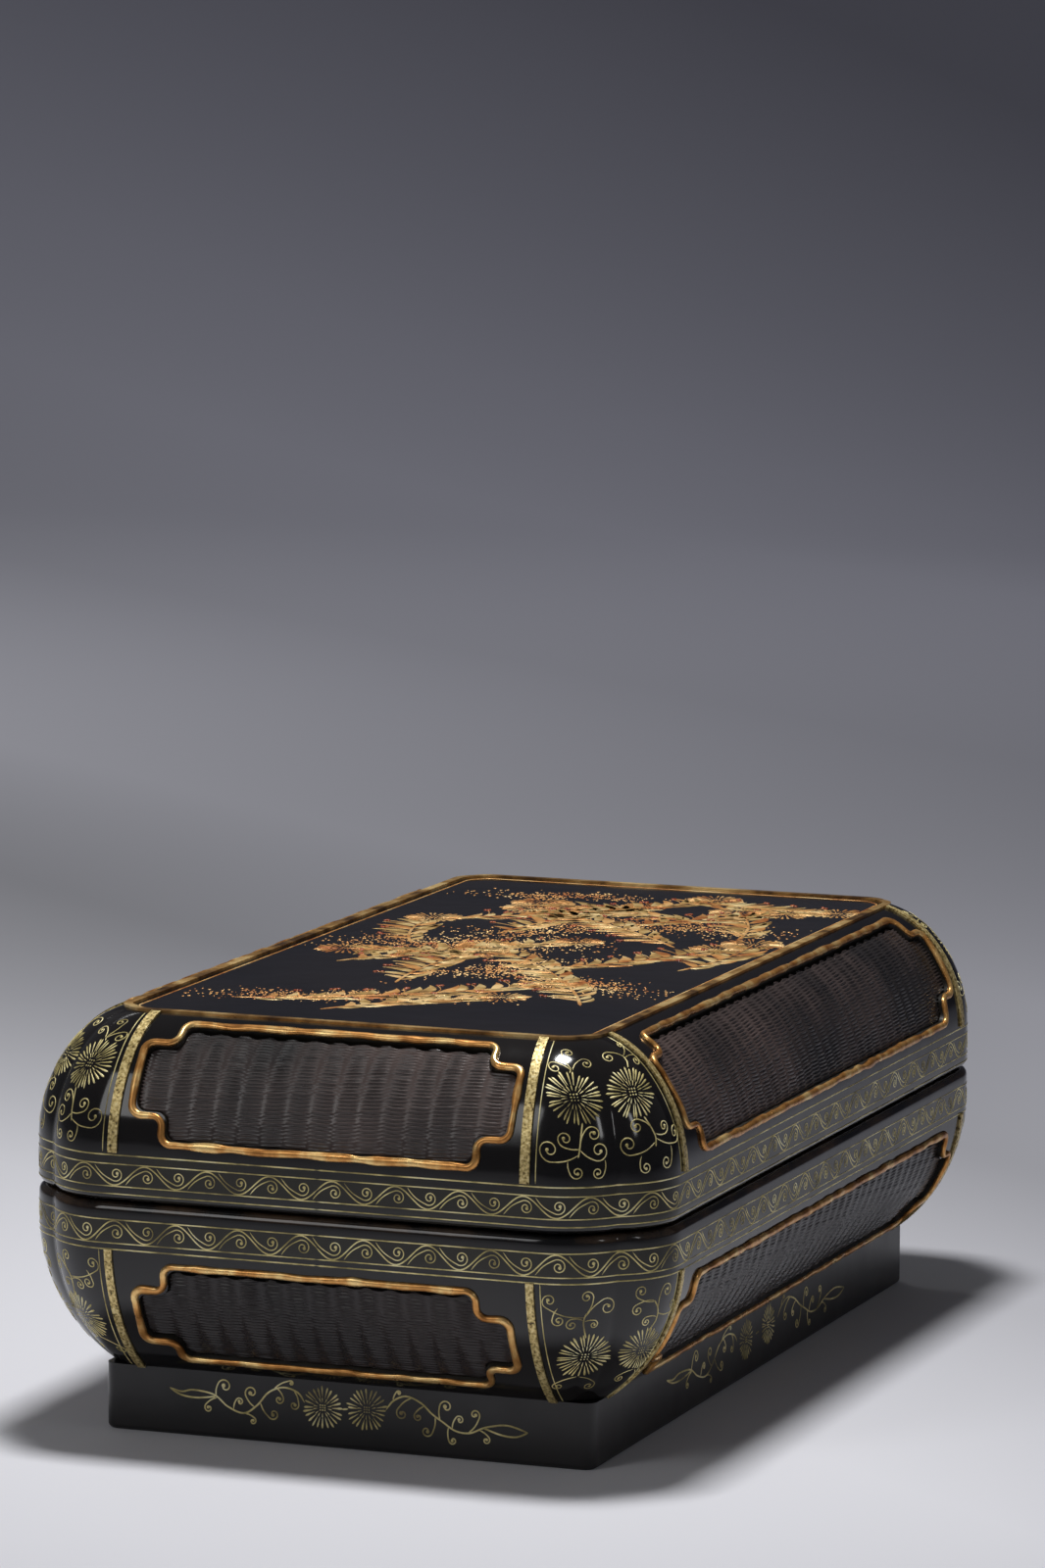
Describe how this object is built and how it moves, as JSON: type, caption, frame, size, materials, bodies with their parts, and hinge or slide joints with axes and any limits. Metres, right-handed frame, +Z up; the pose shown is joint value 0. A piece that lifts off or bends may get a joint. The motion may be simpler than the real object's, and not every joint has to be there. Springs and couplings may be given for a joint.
{
  "type": "lacquered writing box",
  "caption": "Lacquered writing box with a domed lift-off lid, curved body on a plinth foot, sunk woven panels, and an inkstone, water dropper and brush tray inside.",
  "frame": {"origin": "middle of the foot's underside, on the surface that the box stands on", "axes": "+Z up, +Y along the length of the box away from its near end, +X to the right"},
  "size_m": [0.1524, 0.2584, 0.0954],
  "materials": {
    "lacquer": "glossy black lacquer over wood",
    "woven_bamboo": "fine weave under dark satin lacquer",
    "raised_gold": "raised lacquer dusted with gold",
    "mottled_gold": "mottled worn gold on raised lacquer",
    "slate": "honed",
    "bronze": "aged",
    "ink": "matte pressed soot",
    "bamboo": "satin",
    "hair": "fine hair"
  },
  "bodies": {
    "box": {"body_shell": "lacquer", "floor_board": "lacquer", "inner_rim": "lacquer", "foot_frame": "lacquer", "base_board": "lacquer", "tray_bearers": "lacquer", "body_weave_front": "woven_bamboo", "body_weave_right": "woven_bamboo", "body_weave_back": "woven_bamboo", "body_weave_left": "woven_bamboo", "body_frame_front": "raised_gold", "body_frame_right": "raised_gold", "body_frame_back": "raised_gold", "body_frame_left": "raised_gold", "body_straps_front": "mottled_gold", "body_straps_right": "mottled_gold", "body_straps_back": "mottled_gold", "body_straps_left": "mottled_gold"},
    "lid": {"lid_shell": "lacquer", "top_board": "lacquer", "top_edge": "mottled_gold", "lid_weave_front": "woven_bamboo", "lid_weave_right": "woven_bamboo", "lid_weave_back": "woven_bamboo", "lid_weave_left": "woven_bamboo", "lid_frame_front": "raised_gold", "lid_frame_right": "raised_gold", "lid_frame_back": "raised_gold", "lid_frame_left": "raised_gold", "lid_straps_front": "mottled_gold", "lid_straps_right": "mottled_gold", "lid_straps_back": "mottled_gold", "lid_straps_left": "mottled_gold"},
    "tray": {"tray_frame": "lacquer", "tray_floor": "lacquer", "tray_divider": "lacquer"},
    "inkstone": {"inkstone": "slate"},
    "water_dropper": {"water_dropper": "bronze"},
    "ink_stick": {"ink_stick": "ink"},
    "brush_1": {"brush_1_handle": "bamboo", "brush_1_tuft": "hair"},
    "brush_2": {"brush_2_handle": "bamboo", "brush_2_tuft": "hair"}
  },
  "joints": [
    {"name": "lid_lift", "type": "slide", "parent": "box", "child": "lid", "axis": [0, 0, 1], "range_m": [0, 0.16]},
    {"name": "tray_lift", "type": "slide", "parent": "box", "child": "tray", "axis": [0, 0, 1], "range_m": [0, 0.072]},
    {"name": "inkstone_lift", "type": "slide", "parent": "box", "child": "inkstone", "axis": [0, 0, 1], "range_m": [0, 0.0432]},
    {"name": "dropper_lift", "type": "slide", "parent": "box", "child": "water_dropper", "axis": [0, 0, 1], "range_m": [0, 0.0432]},
    {"name": "ink_stick_lift", "type": "slide", "parent": "tray", "child": "ink_stick", "axis": [0, 0, 1], "range_m": [0, 0.024]},
    {"name": "brush_1_lift", "type": "slide", "parent": "tray", "child": "brush_1", "axis": [0, 0, 1], "range_m": [0, 0.024]},
    {"name": "brush_2_lift", "type": "slide", "parent": "tray", "child": "brush_2", "axis": [0, 0, 1], "range_m": [0, 0.024]}
  ],
  "couplings": [
    {"joint": "tray_lift", "follows": "lid_lift", "ratio": 0.45},
    {"joint": "inkstone_lift", "follows": "lid_lift", "ratio": 0.27},
    {"joint": "dropper_lift", "follows": "lid_lift", "ratio": 0.27},
    {"joint": "ink_stick_lift", "follows": "lid_lift", "ratio": 0.15},
    {"joint": "brush_1_lift", "follows": "lid_lift", "ratio": 0.15},
    {"joint": "brush_2_lift", "follows": "lid_lift", "ratio": 0.15}
  ]
}
